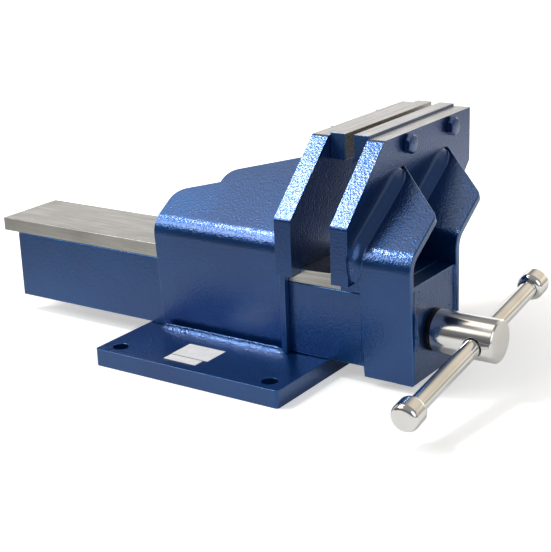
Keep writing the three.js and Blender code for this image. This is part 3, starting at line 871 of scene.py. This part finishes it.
def rings_mesh(name, rings):
    """A skin through rings of points, each ring with as many points, with its ends closed."""
    form = bmesh.new()
    made = [[form.verts.new(p) for p in ring] for ring in rings]
    count = len(made[0])
    for lower, upper in zip(made, made[1:]):
        for i in range(count):
            form.faces.new((lower[i], lower[(i + 1) % count], upper[(i + 1) % count], upper[i]))
    form.faces.new(reversed(made[0]))
    form.faces.new(made[-1])
    bmesh.ops.recalc_face_normals(form, faces=form.faces)
    for face in form.faces:
        face.smooth = True
    mesh = bpy.data.meshes.new(name)
    form.to_mesh(mesh)
    form.free()
    return mesh


def ring(radius, x, steps=48):
    """A circle about X, or any outline about X where radius is a function of the angle."""
    size = radius if callable(radius) else lambda angle: radius
    rise = x if callable(x) else lambda angle: x
    angles = [2 * math.pi * i / steps for i in range(steps)]
    return [(rise(a), size(a) * math.cos(a), size(a) * math.sin(a)) for a in angles]


def hexagon_bolt(head_height, shank_length):
    """A bolt along X with its head towards +X from x = 0 and its shank towards -X."""
    apothem = hexagon_across_flats / 2
    flat_circle = 0.93 * apothem

    def across(angle):
        turned = (angle + math.pi / 6) % (math.pi / 3) - math.pi / 6
        return apothem / math.cos(turned)

    def shoulder(angle):
        return head_height - (across(angle) - flat_circle) * math.tan(hexagon_chamfer)

    def edge_soft(angle):
        return across(angle) - 0.25 * MM

    rings = [
        ring(bolt_shank_radius - bolt_tip_chamfer, -shank_length),
        ring(bolt_shank_radius, -shank_length + bolt_tip_chamfer),
        ring(bolt_shank_radius, 0.0),
        ring(apothem * 0.94, 0.0),
        ring(apothem * 0.95, 0.5 * MM),
        ring(edge_soft, 0.55 * MM),
        ring(across, 0.8 * MM),
        ring(across, lambda angle: shoulder(angle) - 0.3 * MM),
        ring(edge_soft, shoulder),
        ring(flat_circle, head_height - 0.15 * MM),
        ring(flat_circle - bolt_face_round, head_height),
    ]
    mesh = rings_mesh("insert_bolt_shape", rings)
    mesh.set_sharp_from_angle(angle=bolt_shading_break)
    return mesh


def insert_bolts():
    tree, names = bolt_row_tree()
    for jaw, into in (("moving", -1), ("fixed", 1)):
        pair = [f"{jaw}_insert_bolt_{i}" for i in (1, 2)]
        low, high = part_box(pair[0])
        plate_low, plate_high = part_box(f"{jaw}_jaw_plate")
        face = plate_high.x if into < 0 else plate_low.x
        outermost = high.x if into < 0 else low.x
        head_height = abs(outermost - face) - bolt_gap
        shank = (face - low.x) if into < 0 else (high.x - face)
        bolt = bpy.data.objects.new("bolt_shape", hexagon_bolt(head_height, shank))
        centres = []
        for name in pair:
            a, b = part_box(name)
            centres.append((face - into * bolt_gap, (a.y + b.y) / 2, (a.z + b.z) / 2))
        seed = bpy.data.meshes.new(f"{jaw}_bolt_places")
        seed.from_pydata(centres, [], [])
        turn = (0, 0, 0) if into < 0 else (0, 0, math.pi)
        values = {"Bolt": bolt, "Turn": turn, "Material": paint}
        piece = grow(f"{jaw}_insert_bolts", seed, tree, names, values)
        bpy.data.objects.remove(bolt)
        settle(piece, body_of[pair[0]], "blue_paint", *pair)


insert_bolts()

# ---------------------------------------------------------------- lead screw


def lead_screw():
    """The screw's plain shank and spigot, and its threaded core with the ridge wound on it."""
    low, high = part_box("lead_screw")
    axis_z = (low.z + high.z) / 2
    radius = (high.z - low.z) / 2
    core = radius - thread_depth
    thread_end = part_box("retaining_collar")[0].x - thread_runout
    head_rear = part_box("screw_head")[0].x
    stations = [
        (low.x, core - screw_tip_chamfer),
        (low.x + screw_tip_chamfer, core),
        (thread_end, core),
        (thread_end + thread_depth, radius),
        (head_rear - spigot_gap, radius),
        (head_rear - spigot_gap, spigot_radius),
        (high.x, spigot_radius),
    ]
    shaft = rings_mesh("screw_shaft", [ring(r, x) for x, r in stations])
    shaft.transform(Matrix.Translation((0, 0, axis_z)))
    section = bpy.data.meshes.new("thread_section")
    section.from_pydata(
        [
            (-thread_bite, -thread_root, 0),
            (thread_depth, -thread_crest, 0),
            (thread_depth, thread_crest, 0),
            (-thread_bite, thread_root, 0),
        ],
        [(0, 1), (1, 2), (2, 3), (3, 0)],
        [],
    )
    tree, names = thread_tree()
    steel = finishes["plain_steel"]
    start = low.x + screw_tip_chamfer + thread_root
    values = {
        "Core Radius": core,
        "Pitch": thread_pitch,
        "Length": thread_end - start - thread_root,
        "Start": (start, 0, axis_z),
        "Material": steel,
    }
    ridge = grow("lead_screw_threaded", section, tree, names, values)
    joined = bmesh.new()
    joined.from_mesh(ridge.data)
    bmesh.ops.recalc_face_normals(joined, faces=joined.faces)
    joined.from_mesh(shaft)
    joined.to_mesh(ridge.data)
    joined.free()
    ridge.data.materials.clear()
    ridge.data.materials.append(steel)
    for face in ridge.data.polygons:
        face.material_index = 0
    ridge.data.set_sharp_from_angle(angle=sharp_angle)
    settle(ridge, "screw", "plain_steel", "lead_screw")


lead_screw()

# ---------------------------------------------------------------- floor, lights, camera


def floor():
    """A pale floor that glows though it is no lamp: to the camera it glows up to white. Its colour is a
    painted pool of light, brightest behind the vise to the right, and its glow for everything but the camera
    is dimmed near the vise as painted shadow.
    """
    mesh = bpy.data.meshes.new("floor")
    half = 8.0
    corners = [(-half, -half, 0), (half, -half, 0), (half, half, 0), (-half, half, 0)]
    mesh.from_pydata(corners, [], [(0, 1, 2, 3)])
    made = bpy.data.objects.new("floor", mesh)
    bpy.context.scene.collection.objects.link(made)
    material, tree, shader, place = new_material("pale_floor", (0.80, 0.79, 0.82), 0.0, 0.7)
    away = add_node(tree, "ShaderNodeVectorMath", {0: place, 1: (0.35, 0.45, 0)}, operation="DISTANCE")
    # painted pool of light: the floor's colour is lightest round a spot behind the vise to the right and
    # darker away from it
    pool_of_light = map_range(tree, away.outputs["Value"], 0.62, 1.40, 0.84, 0.20)
    link(tree, pool_of_light, shader.inputs["Base Color"])
    shader.inputs["Emission Color"].default_value = (1, 1, 1, 1)
    reach = add_node(tree, "ShaderNodeVectorMath", {0: place}, operation="LENGTH")
    lift = map_range(tree, reach.outputs["Value"], 0.25, 0.80, 0.45, 1.1)
    seen = add_node(tree, "ShaderNodeLightPath").outputs["Is Camera Ray"]
    # painted shadow and light: the glow that lights the vise and shows in its reflections is weak close to
    # the vise and stronger farther out
    clear = map_range(tree, reach.outputs["Value"], 0.30, 1.0, 0.05, 0.40)
    hidden_glow_dimmed_near_vise = calculate(tree, "MULTIPLY", calculate(tree, "SUBTRACT", 1.0, seen), clear)
    glow = calculate(tree, "MULTIPLY", pool_of_light, hidden_glow_dimmed_near_vise)
    seen_glow = calculate(tree, "MULTIPLY", lift, seen)
    link(tree, calculate(tree, "ADD", glow, seen_glow), shader.inputs["Emission Strength"])
    mesh.materials.append(material)


floor()


def softbox(name, place, target, size, power, colour):
    data = bpy.data.lights.new(name, "AREA")
    data.shape = "RECTANGLE"
    data.size, data.size_y = size
    data.energy = power
    data.color = colour
    made = bpy.data.objects.new(name, data)
    bpy.context.scene.collection.objects.link(made)
    made.location = place
    made.rotation_euler = (Vector(target) - Vector(place)).to_track_quat("-Z", "Y").to_euler()


middle_of_vise = (0, 0, 0.1)
softbox("upper_softbox", (-0.87, -0.52, 1.65), middle_of_vise, (0.30, 0.30), 14, (1, 0.99, 0.93))
softbox("left_softbox", (-0.95, -1.0, 1.15), middle_of_vise, (0.6, 0.6), 8, (0.93, 0.97, 1))


dim_room = (0.09, 0.09, 0.095)


def studio_walls():
    """A dim room with a bright low sweep behind the vise, cream panels high up and a pale one in front."""
    world = bpy.data.worlds.new("studio_walls")
    bpy.context.scene.world = world
    world.use_nodes = True
    tree = world.node_tree
    toward = tree.nodes.new("ShaderNodeTexCoord").outputs["Generated"]
    height = add_node(tree, "ShaderNodeSeparateXYZ", {"Vector": toward}).outputs["Z"]
    low_sweep = map_range(tree, height, 0.36, 0.46, 1.0, 0.0)

    def lobe(middle, start, end):
        """1 in the middle's direction, falling to 0 as the angle's cosine falls from end to start."""
        cosine = add_node(
            tree,
            "ShaderNodeVectorMath",
            {0: toward, 1: Vector(middle).normalized()},
            operation="DOT_PRODUCT",
        )
        return map_range(tree, cosine.outputs["Value"], start, end)

    def sweep(middle, start, end):
        return calculate(tree, "MULTIPLY", low_sweep, lobe(middle, start, end))

    # each light part of the room: where it is, and its colour
    parts = (
        (sweep((-0.57, 0.82, 0.05), 0.35, 0.85), (0.95, 0.94, 0.93)),
        (sweep((0.57, 0.82, 0.05), 0.35, 0.95), (0.36, 0.33, 0.27)),
        (lobe((-0.54, 0.02, 0.84), 0.95, 0.975), (1.25, 1.14, 0.92)),
        (lobe((-0.54, -0.59, 0.60), 0.965, 0.99), (1.20, 1.12, 0.95)),
        (lobe((0.2, 0.82, 0.5), 0.80, 0.95), (0.50, 0.42, 0.29)),
        (lobe((0.83, -0.38, 0.41), 0.90, 0.97), (1.20, 1.30, 1.35)),
        (lobe((0, 0, 1), -0.1, 0.9), (0.20, 0.20, 0.20)),
    )
    total = dim_room
    for mask, colour in parts:
        values = {0: colour, 1: mask, 2: total}
        total = add_node(tree, "ShaderNodeVectorMath", values, operation="MULTIPLY_ADD").outputs[0]
    link(tree, total, tree.nodes["Background"].inputs["Color"])


studio_walls()


camera_place = (0.8268, -1.1536, 0.5504)
camera_lens = 85.765


def camera():
    azimuth, elevation, roll = math.radians(34.787), math.radians(18.3025), math.radians(-2.150)
    back = Vector(
        (
            math.sin(azimuth) * math.cos(elevation),
            -math.cos(azimuth) * math.cos(elevation),
            math.sin(elevation),
        )
    )
    right = (-back).cross(Vector((0, 0, 1))).normalized()
    up = right.cross(-back)
    turned_right = math.cos(roll) * right + math.sin(roll) * up
    turned_up = -math.sin(roll) * right + math.cos(roll) * up
    data = bpy.data.cameras.new("camera")
    data.sensor_fit = "HORIZONTAL"
    data.sensor_width = 36
    data.lens = camera_lens
    made = bpy.data.objects.new("camera", data)
    bpy.context.scene.collection.objects.link(made)
    turn = Matrix((turned_right, turned_up, back)).transposed().to_4x4()
    made.matrix_world = Matrix.Translation(Vector(camera_place)) @ turn
    bpy.context.scene.camera = made


camera()
bpy.context.scene.view_settings.view_transform = "Standard"
